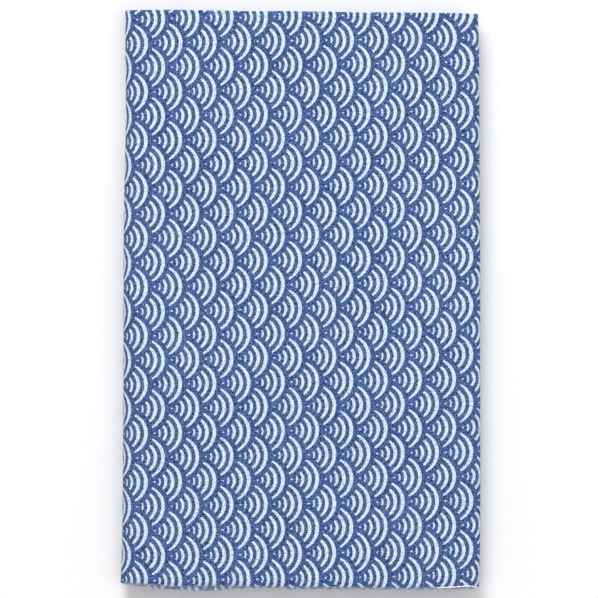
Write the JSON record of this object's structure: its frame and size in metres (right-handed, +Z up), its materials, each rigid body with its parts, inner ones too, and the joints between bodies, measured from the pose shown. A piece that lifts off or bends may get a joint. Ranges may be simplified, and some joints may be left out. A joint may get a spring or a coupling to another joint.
{
  "type": "tenugui towel",
  "caption": "Folded cotton hand towel with a repeating print of overlapping wave scales, white on indigo, lying flat in doubled layers.",
  "frame": {"origin": "middle of the folded towel's footprint, on the face that it rests on", "axes": "+X along the cloth's length, towards the side with the free cut ends; +Y from the selvages to the centre fold; +Z up, out of the front"},
  "size_m": [0.1124, 0.1812, 0.0106],
  "materials": {
    "printed_cotton": "plain-weave cotton, printed in indigo with the wave arcs left white, matt"
  },
  "bodies": {
    "root": {"folded_towel": "printed_cotton"}
  },
  "joints": []
}
